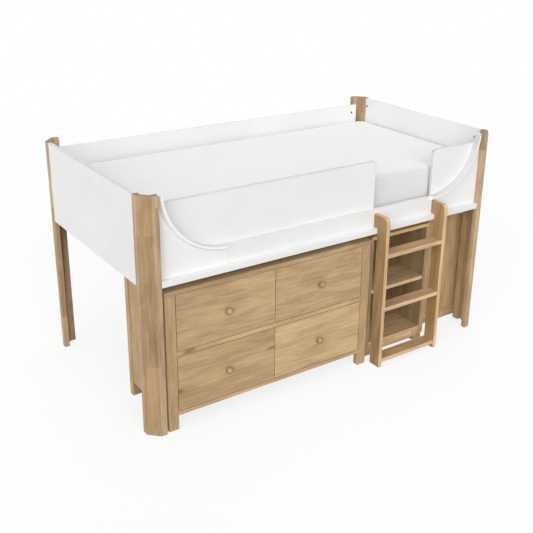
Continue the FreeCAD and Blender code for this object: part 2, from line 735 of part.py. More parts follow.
def bookcase():
    right_side = f"{BOOK_LEFT} + book_width - book_board"
    inner_left = f"{BOOK_LEFT} + book_board"
    top_size = ("book_width", "book_depth", "book_board")
    node(board("bookcase_top", (BOOK_LEFT, BOOK_FRONT, BOOK_UNDER), top_size), "bookcase_top")
    side_size = ("book_board", "book_depth", f"{BOOK_UNDER} - book_leg_height")
    for side, start in (("left", BOOK_LEFT), ("right", right_side)):
        label = f"bookcase_side_{side}"
        node(board(label, (start, BOOK_FRONT, "book_leg_height"), side_size), label)
    shelf_depth = "(book_depth - book_back_thickness)"
    low = (inner_left, BOOK_FRONT, "book_leg_height")
    bottom = board("bookcase_bottom", low, (BOOK_INNER, shelf_depth, "book_board"))
    node(bottom, "bookcase_bottom")
    low = (inner_left, f"{BOOK_FRONT} + book_shelf_setback", SHELF_BOTTOM)
    size = (BOOK_INNER, f"{shelf_depth} - book_shelf_setback", "book_board")
    node(board("bookcase_shelf", low, size), "bookcase_shelf")
    low = (inner_left, f"{BOOK_FRONT} + {shelf_depth}", "book_leg_height")
    size = (BOOK_INNER, "book_back_thickness", f"{BOOK_UNDER} - book_leg_height")
    node(strip("bookcase_back_board", low, size), "bookcase_back")
    plinth = []
    leg_size = ("book_leg_width", "book_leg_depth", "book_leg_height")
    rear_leg = f"{BOOK_FRONT} + book_depth - book_leg_depth"
    right_leg = f"{BOOK_LEFT} + book_width - book_leg_width"
    apron_low = "book_leg_height - book_apron_height"
    apron_size = ("book_width - 2 * book_leg_width", "book_apron_thickness", "book_apron_height")
    rear_apron = f"{BOOK_FRONT} + book_depth - book_apron_thickness"
    for end, leg_y, apron_y in (("front", BOOK_FRONT, BOOK_FRONT), ("rear", rear_leg, rear_apron)):
        for side, start in (("left", BOOK_LEFT), ("right", right_leg)):
            plinth.append(board(f"book_leg_{end}_{side}", (start, leg_y, "0"), leg_size))
        low = (f"{BOOK_LEFT} + book_leg_width", apron_y, apron_low)
        plinth.append(board(f"book_apron_{end}", low, apron_size))
    group("bookcase_plinth", plinth)


def desk():
    low = (DESK_LEFT, f"{MIDDLE} - {DESK_SIDE} - desk_top_overhang", DESK_UNDER)
    size = ("desk_width", f"2 * ({DESK_SIDE} + desk_top_overhang)", "desk_top_thickness")
    node(board("desk_top", low, size, "tread_round"), "desk_top")
    legs, panels, rails = [], [], []
    leg_size = ("desk_leg_width", "desk_leg_depth", DESK_UNDER)
    leg_starts = (DESK_LEFT, f"{DESK_LEFT} + desk_width - desk_leg_width")
    inner = f"({DESK_SIDE} - desk_leg_depth)"
    panel_near = f"({inner} - desk_panel_recess - desk_panel_thickness)"
    panel_size = ("desk_width", "desk_panel_thickness", f"{DESK_UNDER} - {DESK_RAIL_TOP}")
    rail_size = ("desk_width", "desk_rail_thickness", "desk_rail_height")
    for side, sign in SIDES:
        for index, start in enumerate(leg_starts):
            leg_low = (start, mirrored(sign, inner, "desk_leg_depth", MIDDLE), "0")
            legs.append(board(f"desk_leg_{side}_{index}", leg_low, leg_size))
        panel_start = mirrored(sign, panel_near, "desk_panel_thickness", MIDDLE)
        panel_low = (DESK_LEFT, panel_start, DESK_RAIL_TOP)
        panels.append(board(f"desk_panel_{side}", panel_low, panel_size))
        rail_near = f"{inner} - desk_rail_thickness"
        rail_start = mirrored(sign, rail_near, "desk_rail_thickness", MIDDLE)
        rail_low = (DESK_LEFT, rail_start, "desk_rail_bottom")
        rails.append(board(f"desk_rail_{side}", rail_low, rail_size))
    group("desk_legs", legs)
    group("desk_end_panels", panels)
    group("desk_bottom_rails", rails)
    start = f"{DESK_LEFT} + desk_modesty_inset"
    low = (start, f"{MIDDLE} - {panel_near}", f"{DESK_UNDER} - desk_modesty_height")
    size = ("desk_panel_thickness", f"2 * {panel_near}", "desk_modesty_height")
    node(board("desk_modesty_panel", low, size), "desk_modesty_panel")


def check_and_write():
    """Stop on any failed object or bad shape, then write one file per piece."""
    doc.recompute()
    for item in doc.Objects:
        if "Invalid" in item.State or "Error" in item.State:
            raise RuntimeError(f"{item.Name} failed: {item.State}")
    for item in nodes:
        if item.Shape.isNull() or not item.Shape.isValid():
            raise RuntimeError(f"{item.Label} has no valid shape")
    os.makedirs("parts", exist_ok=True)
    for item in nodes:
        item.Shape.exportStep(f"parts/{item.Label}.step")
    print(len(nodes), "pieces written")


bed_frame()
guards()
mattress_support()
mattress()
panel_bolts()
ladder()
chest_frame()
drawer_runners()
for row, level in enumerate(("lower", "upper")):
    for column, (side, sign) in enumerate(SIDES):
        drawer(f"drawer_{level}_{side}", column, row)
bookcase()
desk()
check_and_write()
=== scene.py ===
"""Low loft bed in oak and white lacquer: materials, mattress, studio floor, light and camera."""
import json
import math
import bpy
import numpy as np
from mathutils import Matrix, Vector, noise


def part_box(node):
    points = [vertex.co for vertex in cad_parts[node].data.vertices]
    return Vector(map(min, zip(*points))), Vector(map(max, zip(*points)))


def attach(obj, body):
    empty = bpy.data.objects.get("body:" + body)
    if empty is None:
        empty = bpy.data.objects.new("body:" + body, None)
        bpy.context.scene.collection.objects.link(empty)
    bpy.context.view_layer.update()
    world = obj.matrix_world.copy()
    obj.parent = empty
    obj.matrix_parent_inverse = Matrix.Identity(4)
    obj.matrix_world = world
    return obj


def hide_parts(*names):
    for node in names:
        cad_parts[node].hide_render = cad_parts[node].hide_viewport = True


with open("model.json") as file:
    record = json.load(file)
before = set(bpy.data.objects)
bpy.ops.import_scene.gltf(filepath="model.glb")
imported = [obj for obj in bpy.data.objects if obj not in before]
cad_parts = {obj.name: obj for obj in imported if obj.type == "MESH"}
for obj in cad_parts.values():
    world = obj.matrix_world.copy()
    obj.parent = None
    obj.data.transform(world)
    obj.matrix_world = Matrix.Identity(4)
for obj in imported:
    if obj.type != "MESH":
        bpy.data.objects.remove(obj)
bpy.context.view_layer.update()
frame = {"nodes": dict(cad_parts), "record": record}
NODES = frame["nodes"]
SCENE = bpy.context.scene


def tinted(color, tone):
    """A colour's red, green and blue times a tone, as a colour socket takes them."""
    return (*(part * tone for part in color), 1.0)


def grey(tone):
    return (tone, tone, tone, 1.0)


class Graph:
    """A material's node tree, or a node group, built one node at a time."""

    def __init__(self, tree):
        self.tree = tree
        tree.nodes.clear()

    def add(self, kind, inputs=None, **settings):
        made = self.tree.nodes.new(kind)
        for name, value in settings.items():
            setattr(made, name, value)
        for name, value in (inputs or {}).items():
            socket = made.inputs[name]
            if isinstance(value, bpy.types.NodeSocket):
                self.tree.links.new(value, socket)
            else:
                socket.default_value = value
        return made

    def place(self):
        """The point on the piece, in metres in the frame."""
        return self.add("ShaderNodeTexCoord").outputs["Object"]

    def normal(self):
        return self.split(self.add("ShaderNodeTexCoord").outputs["Normal"])

    def facing(self, axis):
        """How squarely the surface faces along an axis, from 0 to 1."""
        return self.math("ABSOLUTE", self.normal()[axis])

    def split(self, vector):
        return self.add("ShaderNodeSeparateXYZ", {"Vector": vector}).outputs

    def joined(self, x=0.0, y=0.0, z=0.0):
        return self.add("ShaderNodeCombineXYZ", {"X": x, "Y": y, "Z": z}).outputs[0]

    def math(self, operation, first, second=0.0, third=0.0, clamp=False):
        inputs = {0: first, 1: second, 2: third}
        return self.add("ShaderNodeMath", inputs, operation=operation, use_clamp=clamp).outputs[0]

    def between(self, value, low, high):
        """low where the value is 0, and high where it is 1."""
        return self.math("MULTIPLY_ADD", value, high - low, low)

    def scaled(self, vector, factors):
        inputs = {0: vector, 1: factors}
        return self.add("ShaderNodeVectorMath", inputs, operation="MULTIPLY").outputs[0]

    def moved(self, vector, offset):
        inputs = {0: vector, 1: offset}
        return self.add("ShaderNodeVectorMath", inputs, operation="ADD").outputs[0]

    def noise(self, vector, scale=1.0, detail=3.0, roughness=0.5, distortion=0.0):
        inputs = {
            "Vector": vector, "Scale": scale, "Detail": detail,
            "Roughness": roughness, "Distortion": distortion,
        }
        return self.add("ShaderNodeTexNoise", inputs).outputs["Fac"]

    def span(self, value, low, high, to_low=0.0, to_high=1.0):
        """A smooth step, from to_low at low to to_high at high."""
        inputs = {"Value": value, "From Min": low, "From Max": high, "To Min": to_low, "To Max": to_high}
        return self.add("ShaderNodeMapRange", inputs, interpolation_type="SMOOTHSTEP").outputs["Result"]

    def mix(self, factor, first, second, blend="MIX"):
        """Two colours mixed: the node's colour sockets are its inputs 6 and 7 and its output 2."""
        inputs = {0: factor, 6: first, 7: second}
        return self.add("ShaderNodeMix", inputs, data_type="RGBA", blend_type=blend).outputs[2]

    def times(self, color, factor):
        return self.mix(1.0, color, factor, "MULTIPLY")


def material(name):
    made = bpy.data.materials.new(name)
    made.use_nodes = True
    return made, Graph(made.node_tree)


def finish_material(graph, color, roughness, height, depth, **constants):
    """Surface output with colour, roughness and a bump of the given depth in metres."""
    bump = graph.add("ShaderNodeBump", {"Height": height, "Distance": depth, "Strength": 1.0})
    inputs = {"Base Color": color, "Roughness": roughness, "Normal": bump.outputs["Normal"]}
    inputs.update(constants)
    shader = graph.add("ShaderNodeBsdfPrincipled", inputs)
    graph.add("ShaderNodeOutputMaterial", {"Surface": shader.outputs["BSDF"]})


# a face begins to count as turned to an axis at the first value of facing, and fully at the second
SQUARE_ON = (0.80, 0.97)

# staves to the metre across the grain and along it, the most that a row of them is shifted, in staves,
# and how far apart in the timber two of them can come from, in metres
STAVES_ACROSS, STAVES_ALONG = 15.0, 1.7
STAVE_STAGGER = 5.0
STAVE_OFFSET = (7.0, 0.9, 0.9)
# the fibres wander this far to either side, in metres; waves to the metre along and across the grain
WANDER, WANDER_WAVES = 0.02, (1.7, 5.0)
# growth rings, their slant, and where in its width a ring darkens and pales again
RINGS_PER_METRE = 48.0
RING_SLANT = 0.06
RING_RISE, RING_FALL = (0.0, 0.75), (0.86, 1.0)

# oak's figure: waves to the metre along and across the grain, the noise's detail, roughness and
# distortion, and the two noise values between which the layer comes up
OAK_LAYERS = {
    "cloud": ((1.6, 8.0), (2.0, 0.5, 0.0), (0.32, 0.68)),
    "patch": ((5.0, 26.0), (3.0, 0.55, 0.5), (0.32, 0.70)),
    "streak": ((3.2, 95.0), (3.0, 0.55, 0.3), (0.54, 0.76)),
    "pores": ((42.0, 900.0), (2.0, 0.5, 0.0), (0.62, 0.72)),
    "fleck": ((34.0, 55.0), (2.0, 0.5, 0.0), (0.60, 0.72)),
}
# how far each layer turns the light colour into the dark one
FIGURE_SHARES = {"patch": 0.34, "cloud": 0.20, "streak": 0.16, "rings": 0.09, "fleck": -0.12}
FIBRE_SHARES = (-0.15, 0.19)
PORE_SHARE, STAVE_SHARE, KNOT_SHARE, END_SHARE = 0.15, 0.26, 0.60, 0.85

FIBRE_WAVES = (11.0, 230.0)
FIBRE_HEIGHT, PORE_DEPTH = 0.6, 0.7
OAK_ROUGHNESS = (0.46, 0.60)
# knots: cells to the metre along and across the grain, a knot's inner and outer radius in cells, and
# the random value above which a cell holds one
KNOT_CELLS = (1.9, 6.0)
KNOT_RADII = (0.02, 0.085)
KNOT_RARITY = 0.86
# a rosy cast that comes and goes: its waves and fineness, the noise values between which it comes up,
# its share, and its hue and saturation against the timber's
BLUSH_WAVES, BLUSH_SCALE = (1.3, 8.0), 1.3
BLUSH_ENDS = (0.42, 0.72)
BLUSH_SHARE = 0.45
BLUSH_HUE, BLUSH_SATURATION = 0.488, 0.93
# the bevels of the posts are a ruddier stave, and darker still with painted shade
SLANT_STAVE_AND_PAINTED_SHADE = (0.72, 0.66, 0.61, 1.0)


def along_grain(graph, vector, waves):
    along, across = waves
    return graph.scaled(vector, (along, across, across))


def oak_group():
    """Lacquered oak. The grain runs along the first coordinate; lengths are in metres."""
    tree = bpy.data.node_groups.new("oak grain", "ShaderNodeTree")
    sockets = {
        "INPUT": {
            "Vector": "Vector", "Light": "Color", "Dark": "Color",
            "Figure": "Float", "Staves": "Float", "End": "Float", "Slant": "Float",
        },
        "OUTPUT": {"Color": "Color", "Roughness": "Float", "Height": "Float"},
    }
    for way, kinds in sockets.items():
        for name, kind in kinds.items():
            tree.interface.new_socket(name, in_out=way, socket_type=f"NodeSocket{kind}")
    g = Graph(tree)
    given = g.add("NodeGroupInput").outputs
    axes = g.split(given["Vector"])

    # staves glued side by side and cut to random lengths, each from its own timber
    wide = g.math("MULTIPLY", given["Staves"], STAVES_ACROSS)
    stave = g.math("FLOOR", g.math("MULTIPLY", g.math("ADD", axes["Y"], axes["Z"]), wide))
    start = g.add("ShaderNodeTexWhiteNoise", {"W": stave}, noise_dimensions="1D").outputs["Value"]
    along = g.math("MULTIPLY", axes["X"], g.math("MULTIPLY", given["Staves"], STAVES_ALONG))
    length = g.math("FLOOR", g.math("MULTIPLY_ADD", start, STAVE_STAGGER, along))
    block = g.joined(stave, length)
    chance = g.add("ShaderNodeTexWhiteNoise", {"Vector": block}, noise_dimensions="2D").outputs
    own = g.moved(given["Vector"], g.scaled(chance["Color"], STAVE_OFFSET))

    # the fibres wander sideways along the board
    drift = g.noise(along_grain(g, own, WANDER_WAVES))
    lean = g.between(drift, -WANDER, WANDER)
    bent = g.moved(own, g.joined(y=lean, z=lean))

    # growth rings cut at a slant, so that they close into long arches
    parts = g.split(bent)
    first = g.math("MULTIPLY_ADD", parts["X"], RING_SLANT, parts["Y"])
    radius = g.math("SQRT", g.math("ADD", g.math("POWER", first, 2.0), g.math("POWER", parts["Z"], 2.0)))
    ring = g.math("FRACT", g.math("MULTIPLY", radius, RINGS_PER_METRE))
    rings = g.math("MULTIPLY", g.span(ring, *RING_RISE), g.span(ring, *RING_FALL, 1.0, 0.0))

    grown = {"rings": rings}
    for name, (waves, texture, ends) in OAK_LAYERS.items():
        grown[name] = g.span(g.noise(along_grain(g, bent, waves), 1.0, *texture), *ends)
    fibre = g.noise(along_grain(g, bent, FIBRE_WAVES), detail=4.0, roughness=0.65)

    # a knot here and there
    spread = along_grain(g, bent, KNOT_CELLS)
    cell = g.add("ShaderNodeTexVoronoi", {"Vector": spread, "Scale": 1.0}).outputs
    pick = g.add("ShaderNodeSeparateColor", {"Color": cell["Color"]}).outputs[0]
    spot = g.span(cell["Distance"], *KNOT_RADII, 1.0, 0.0)
    knot = g.math("MULTIPLY", spot, g.math("GREATER_THAN", pick, KNOT_RARITY))

    dark = 0.0
    for name, share in FIGURE_SHARES.items():
        dark = g.math("MULTIPLY_ADD", grown[name], share, dark)
    dark = g.math("MULTIPLY", dark, given["Figure"])
    dark = g.math("ADD", dark, g.between(fibre, *FIBRE_SHARES))
    dark = g.math("MULTIPLY_ADD", grown["pores"], PORE_SHARE, dark)
    dark = g.math("MULTIPLY_ADD", g.math("MULTIPLY", chance["Value"], given["Staves"]), STAVE_SHARE, dark)
    dark = g.math("MULTIPLY_ADD", knot, KNOT_SHARE, dark)
    dark = g.math("MULTIPLY_ADD", given["End"], END_SHARE, dark, clamp=True)
    color = g.mix(dark, given["Light"], given["Dark"])

    rosy = g.noise(along_grain(g, bent, BLUSH_WAVES), scale=BLUSH_SCALE, detail=2.0)
    rose = g.math("MULTIPLY", g.span(rosy, *BLUSH_ENDS), BLUSH_SHARE)
    cast = {"Hue": BLUSH_HUE, "Saturation": BLUSH_SATURATION, "Color": color}
    color = g.mix(rose, color, g.add("ShaderNodeHueSaturation", cast).outputs[0])
    # the posts' bevels: a ruddier stave, darkened further as painted shade
    color = g.mix(given["Slant"], color, g.times(color, SLANT_STAVE_AND_PAINTED_SHADE))
    raised = g.math("MULTIPLY", fibre, FIBRE_HEIGHT)
    height = g.math("SUBTRACT", raised, g.math("MULTIPLY", grown["pores"], PORE_DEPTH))
    rough = g.between(fibre, *OAK_ROUGHNESS)
    g.add("NodeGroupOutput", {"Color": color, "Roughness": rough, "Height": height})
    return tree


OAK = oak_group()
GRAIN_ORDER = {"X": "XYZ", "Y": "YXZ", "Z": "ZXY"}
# how dark the sawn ends are: of a plain board, and of the posts
PLAIN_END, POST_END = 0.35, 0.85
# a bevel begins to count as slanted at the first product of its X and Y facing, and fully at the second
SLANTED = (0.30, 0.45)
# the joint of a foot and the rail beside it: dark up to the first distance from it, and gone at the
# second, in metres
JOINT_WIDTHS = (0.0012, 0.0024)
JOINT_SHADE, FOOT_SHADE = 0.45, 0.78
# a board's own piece of timber: steps of the offset along and across the grain, and its limits in metres
SEED_STEPS = (0.37, 0.173, 0.291)
SEED_LIMITS = (9.1, 0.31, 0.43)


def seed_of(name):
    """A repeatable offset for a board's own piece of timber."""
    total = sum(place * ord(letter) for place, letter in enumerate(name, start=3))
    return Vector([(total * step) % limit for step, limit in zip(SEED_STEPS, SEED_LIMITS)])


def timber(name, grain, light, dark, figure=1.0, staves=0.0, end=PLAIN_END, face=None, feet=None):
    """Oak or pine with its grain along an axis. face: an axis and the tint of the faces turned to it,
    painted shade on them and painted light on the knobs' fronts;
    feet: the two places along X beyond which the grain stands upright."""
    made, g = material(name)
    axes = g.split(g.place())
    turned = g.joined(*(axes[axis] for axis in GRAIN_ORDER[grain]))
    shade = None
    if feet:
        middle, reach = sum(feet) / 2, (feet[1] - feet[0]) / 2
        aside = g.math("ABSOLUTE", g.math("SUBTRACT", axes["X"], middle))
        beyond = g.math("SUBTRACT", aside, reach)
        foot = g.math("GREATER_THAN", beyond, 0.0)
        upright = g.joined(*(axes[axis] for axis in GRAIN_ORDER["Z"]))
        turned = g.mix(foot, turned, upright)
        seam = g.span(g.math("ABSOLUTE", beyond), *JOINT_WIDTHS, JOINT_SHADE, 1.0)
        shade = g.math("MULTIPLY", seam, g.between(foot, 1.0, FOOT_SHADE))
    elif face:
        # painted shade on the faces turned to the axis; on the knobs' fronts the tint is painted light
        axis, tint = face
        shade = g.mix(g.span(g.facing(axis), *SQUARE_ON), grey(1.0), (*tint, 1.0))
    inputs = {
        "Vector": g.moved(turned, seed_of(name)),
        "Light": (*light, 1.0), "Dark": (*dark, 1.0), "Figure": figure, "Staves": staves,
        "End": g.span(g.facing(grain), *SQUARE_ON, 0.0, end),
    }
    if staves:
        inputs["Slant"] = g.span(g.math("MULTIPLY", g.facing("X"), g.facing("Y")), *SLANTED)
    out = g.add("ShaderNodeGroup", inputs, node_tree=OAK).outputs
    color = out["Color"]
    if shade is not None:
        color = g.times(color, shade)
    finish_material(g, color, out["Roughness"], out["Height"], depth=0.00035, **{"Specular IOR Level": 0.35})
    return made


# white lacquer, clear and clouded, and the cast of its upper edges: red, green and blue
LACQUER_PALE = (1.0, 1.0, 0.995)
LACQUER_DEEP = (0.965, 0.967, 0.96)
LACQUER_EDGE = (1.0, 1.0, 1.005)
LACQUER_CLOUDS = (0.3, 0.7)
# an upper edge begins at the first height of the normal, and counts fully at the second
UPWARD = (0.0, 0.08)
LACQUER_ROUGHNESS, DUST_ROUGHNESS = (0.36, 0.48), 0.06


def lacquer(name, tone, edge, ends=1.0):
    """Sprayed white lacquer over board: faint orange peel and slow changes of sheen.
    edge and ends: the tones of the upward faces, and of those turned to X, against the rest."""
    made, g = material(name)
    place = g.moved(g.place(), seed_of(name))
    cloud = g.noise(place, scale=3.2)
    peel = g.noise(place, scale=420.0, detail=2.0)
    dust = g.noise(place, scale=1500.0, detail=1.0)
    clouded = g.span(cloud, *LACQUER_CLOUDS)
    color = g.mix(clouded, tinted(LACQUER_PALE, tone), tinted(LACQUER_DEEP, tone))
    banded = g.times(color, tinted(LACQUER_EDGE, edge))
    color = g.mix(g.span(g.normal()["Z"], *UPWARD), color, banded)
    if ends < 1.0:
        color = g.times(color, g.span(g.facing("X"), *SQUARE_ON, 1.0, ends))
    dusty = g.math("MULTIPLY", dust, DUST_ROUGHNESS)
    rough = g.math("ADD", g.between(cloud, *LACQUER_ROUGHNESS), dusty)
    finish_material(g, color, rough, peel, depth=0.00012, **{"Specular IOR Level": 0.4})
    return made


# the knit's rows along the bed and its loops across them, in radians to the metre
ROW_PITCH, LOOP_PITCH = 2100.0, 1500.0
LOOP_OFFSET = 0.8
# the yarn strays this far, in metres
YARN_STRAY = 0.0012
KNIT_PALE = (0.86, 0.857, 0.852, 1.0)
KNIT_DEEP = (0.80, 0.797, 0.792, 1.0)
# how much of the pale colour the loops and the slow shading bring, and the shading's height
WEAVE_SHARE, CLOUD_SHARE, CLOUD_HEIGHT = 0.45, 0.35, 2.0
# painted shade on the rolled edges and the border: the facing at which it begins and counts fully, and how
# dark it makes them
ROLLED, ROLLED_PAINTED_SHADE = (0.05, 0.45), 0.88
BORDER, BORDER_PAINTED_SHADE = (0.60, 0.95), 0.93


def knit(name):
    """Stretch-knit mattress cover: small offset loops in rows, with slow soft shading,
    and painted shade that darkens its rolled edges and its border."""
    made, g = material(name)
    place = g.place()
    stray = g.add("ShaderNodeTexNoise", {"Vector": place, "Scale": 60.0}).outputs["Color"]
    yarn = g.split(g.moved(place, g.scaled(stray, (YARN_STRAY,) * 3)))
    across = g.math("ADD", yarn["Y"], yarn["Z"])
    rows = g.math("SINE", g.math("MULTIPLY", yarn["X"], ROW_PITCH))
    loops = g.math("SINE", g.math("MULTIPLY_ADD", rows, LOOP_OFFSET, g.math("MULTIPLY", across, LOOP_PITCH)))
    weave = g.math("MULTIPLY_ADD", g.math("MULTIPLY", rows, loops), 0.5, 0.5)
    cloud = g.noise(place, scale=9.0, detail=2.0)
    woven = g.math("MULTIPLY", weave, WEAVE_SHARE)
    cloudy = g.math("MULTIPLY", cloud, CLOUD_SHARE)
    color = g.mix(g.math("ADD", woven, cloudy, clamp=True), KNIT_DEEP, KNIT_PALE)
    # painted shade: the rolled edges and the border are darkened
    rolled = g.math("MULTIPLY", g.facing("Y"), g.facing("Z"))
    color = g.times(color, g.span(rolled, *ROLLED, 1.0, ROLLED_PAINTED_SHADE))
    color = g.times(color, g.span(g.facing("Y"), *BORDER, 1.0, BORDER_PAINTED_SHADE))
    height = g.math("ADD", weave, g.math("MULTIPLY", cloud, CLOUD_HEIGHT))
    finish_material(
        g, color, roughness=0.86, height=height, depth=0.0004,
        **{"Sheen Weight": 0.15, "Sheen Roughness": 0.5, "Specular IOR Level": 0.15},
    )
    return made


BOLT_DARK, BOLT_PALE = (0.06, 0.06, 0.063, 1.0), grey(0.12)
CAP_DARK, CAP_PALE = (0.11, 0.062, 0.016, 1.0), (0.16, 0.095, 0.028, 1.0)
BOLT_ROUGHNESS, CAP_ROUGHNESS = (0.3, 0.5), (0.45, 0.65)


def plated(name):
    """Zinc-plated bolt heads with fine turning marks."""
    made, g = material(name)
    marks = g.noise(g.place(), scale=900.0, detail=2.0)
    patina = g.noise(g.place(), scale=90.0, detail=2.0)
    color = g.mix(patina, BOLT_DARK, BOLT_PALE)
    finish_material(g, color, g.between(marks, *BOLT_ROUGHNESS), marks, depth=0.0001, Metallic=1.0)
    return made


def moulded(name):
    """Dark wood-coloured plastic caps with a fine moulded grain."""
    made, g = material(name)
    speck = g.noise(g.place(), scale=700.0, detail=2.0)
    color = g.mix(speck, CAP_DARK, CAP_PALE)
    finish_material(g, color, g.between(speck, *CAP_ROUGHNESS), speck, depth=0.0001)
    return made


OAK_LIGHT = (0.625, 0.446, 0.240)
OAK_DARK = (0.250, 0.148, 0.068)
PINE_LIGHT = (0.80, 0.66, 0.47)
PINE_DARK = (0.60, 0.42, 0.24)
PINE_FIGURE = 0.6

# in these tables the first name that starts a node's name counts

# the axis that each board's grain follows
GRAIN = {
    "post": "Z", "chest_top": "X", "chest_front_leg": "Z", "chest_rear": "Z", "chest_side": "Z",
    "chest_front_rails": "X", "chest_partition": "Z", "chest_back": "X", "drawer_runners": "Y",
    "drawer_": "X", "ladder_stile": "Z", "ladder_tread": "X", "bookcase_side": "Z",
    "bookcase_back": "Z", "bookcase_": "X", "desk_top": "Y", "desk_legs": "Z", "desk_end": "Z",
    "desk_bottom": "X", "desk_modesty": "Y", "slats": "Y", "slat_bearers": "X",
}

# boards differ in colour: red, green and blue against the common oak; some tones also carry painted light
# and shade: the bookcase's top, shelf, bottom, plinth and sides and the ladder's treads and stiles are paler
# as painted light, and the bookcase back darker as painted shade
TONES_AND_PAINTED_LIGHT = {
    "post": (1.07, 1.09, 1.17), "desk_end": (1.03, 1.03, 1.02), "desk_": (1.10, 1.10, 1.10),
    "bookcase_back": (0.40, 0.385, 0.36), "bookcase_side": (1.12, 1.12, 1.12),
    "bookcase_": (1.44, 1.46, 1.46), "chest_front_rails": (1.10, 1.08, 1.02),
    "chest_top": (0.86, 0.86, 0.88), "chest_front_leg": (0.92, 0.90, 0.90),
    "drawer_upper_left": (0.98, 0.97, 0.95), "drawer_lower_left": (0.95, 0.94, 0.93),
    "drawer_lower_right": (1.13, 1.14, 1.13),
    "ladder_tread": (1.42, 1.40, 1.44), "ladder_stile_left": (1.30, 1.26, 1.22),
    "ladder_stile_right": (1.40, 1.34, 1.28),
}

# painted shade: an axis, and the tint of the faces turned to it against the rest of the board, darkening the
# tread tops, the stile and bookcase sides, the drawer fronts' edges and the bookcase and post tops
FACE_PAINTED_SHADE = {
    "ladder_tread": ("Z", (0.70, 0.67, 0.65)), "ladder_stile_left": ("X", (0.48, 0.45, 0.42)),
    "ladder_stile_right": ("X", (0.57, 0.53, 0.48)), "bookcase_side": ("X", (0.63, 0.63, 0.64)),
    "bookcase_": ("Z", (0.71, 0.72, 0.74)), "drawer_": ("Z", (0.50, 0.50, 0.50)),
    "post": ("Z", (0.52, 0.48, 0.44)),
}

# painted light and shade on the knobs: their rims and necks are darkened as painted shade, and their fronts
# paled as painted light
KNOB_TONE_WITH_PAINTED_SHADE = (0.60, 0.53, 0.50)
KNOB_FRONT_PAINTED_LIGHT = ("Y", (2.30, 2.40, 2.70))

# the width of the bookcase plinth's feet, in metres
BOOK_FOOT = 0.062

# how white each board is, how grey its upper edges are and, where they differ, its ends; each board's white
# is set on its own as painted light and shade, and the upper edges' grey is an edge banding, darkened
# further on some boards as painted shade
WHITES_AND_PAINTED_LIGHT = {
    "guard_panel": (0.845, 0.64, 0.80), "end_panel_left": (0.88, 0.56), "end_panel_right": (0.765, 0.80),
    "back_panel": (0.775, 0.84), "corner_trim_left": (0.93, 0.74), "corner_trim_right": (0.92, 0.66),
    "front_corner_board_left": (0.88, 0.82), "front_corner_board_right": (0.87, 0.69),
    "front_rail": (0.835, 0.84), "front_ledge": (0.84, 0.93),
}


def listed(table, node, usual=None):
    """The entry for the first name in the table that starts the node's name."""
    return next((value for start, value in table.items() if node.startswith(start)), usual)


def dress(node, made):
    slots = NODES[node].data.materials
    slots.clear()
    slots.append(made)


def oak_for(node):
    grain, tone, face = listed(GRAIN, node), listed(TONES_AND_PAINTED_LIGHT, node, (1.0, 1.0, 1.0)), listed(FACE_PAINTED_SHADE, node)
    if node.endswith("_knob"):
        grain, tone, face = "Y", KNOB_TONE_WITH_PAINTED_SHADE, KNOB_FRONT_PAINTED_LIGHT
    light = [part * share for part, share in zip(OAK_LIGHT, tone)]
    dark = [part * share for part, share in zip(OAK_DARK, tone)]
    feet = None
    if node == "bookcase_plinth":
        low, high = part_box(node)
        feet = (low.x + BOOK_FOOT, high.x - BOOK_FOOT)
    glued = {"staves": 1.0, "end": POST_END} if node.startswith("post") else {}
    return timber(f"oak {node}", grain, light, dark, face=face, feet=feet, **glued)


def dress_frame():
    slot_of = {piece["node"]: piece["material_slot"] for piece in frame["record"]["subparts"]}
    single = {"bolt_steel": plated("bolt steel"), "cap_plastic": moulded("cap plastic")}
    for node in sorted(NODES):
        kind = slot_of[node]
        if kind == "oak":
            dress(node, oak_for(node))
        elif kind == "pale_timber":
            dress(node, timber(f"timber {node}", listed(GRAIN, node), PINE_LIGHT, PINE_DARK, PINE_FIGURE))
        elif kind == "white_lacquer":
            dress(node, lacquer(f"lacquer {node}", *listed(WHITES_AND_PAINTED_LIGHT, node)))
        elif kind in single:
            dress(node, single[kind])


# the mattress cover's mesh: lines along, across and up, and how much they gather at the edges
GRID_LINES = (150, 76, 18)
GATHER_SHARE = 0.6

# the mattress cover, in metres: how much longer it is than the solid at each end, its corners' radius in
# plan, its edges' radii, and how far it bows, draws in, crowns, ripples and swells
COVER_REACH = 0.008
COVER_CORNER = 0.045
TOP_EDGE_AT_ENDS, TOP_EDGE_AT_SIDES, UNDER_EDGE = 0.009, 0.024, 0.012
SIDE_BOW = 0.003
SIDE_DRAW = 0.005
CROWN = 0.002
RIPPLE, RIPPLE_WAVES, RIPPLE_LAYER = 0.0014, 5.0, 1.7
SWELL, SWELL_WAVES, SWELL_WAVES_UP = 0.0012, 9.0, 14.0
# bows and swells fade from the sides inwards, and ripples from the top down, with these powers
SIDE_FADE, TOP_FADE = 8, 4
MITRE = 45.0
TINY = 1e-6


def mattress_grid():
    """A box of quads from -1 to 1, finer towards its edges."""
    lines = []
    for count in GRID_LINES:
        even = np.linspace(-1.0, 1.0, count)
        lines.append(np.sin(even * math.pi / 2) * GATHER_SHARE + even * (1 - GATHER_SHARE))
    points, index, quads = [], {}, []
    for axis in range(3):
        a, b = [other for other in range(3) if other != axis]
        for end in (-1.0, 1.0):
            for i in range(len(lines[a]) - 1):
                for j in range(len(lines[b]) - 1):
                    ring = []
                    for di, dj in ((0, 0), (1, 0), (1, 1), (0, 1)):
                        spot = [0.0, 0.0, 0.0]
                        spot[axis] = end
                        spot[a] = lines[a][i + di]
                        spot[b] = lines[b][j + dj]
                        key = tuple(round(value, 6) for value in spot)
                        if key not in index:
                            index[key] = len(points)
                            points.append(key)
                        ring.append(index[key])
                    flip = (end > 0) == (axis == 1)
                    quads.append(ring[::-1] if flip else ring)
    return points, quads


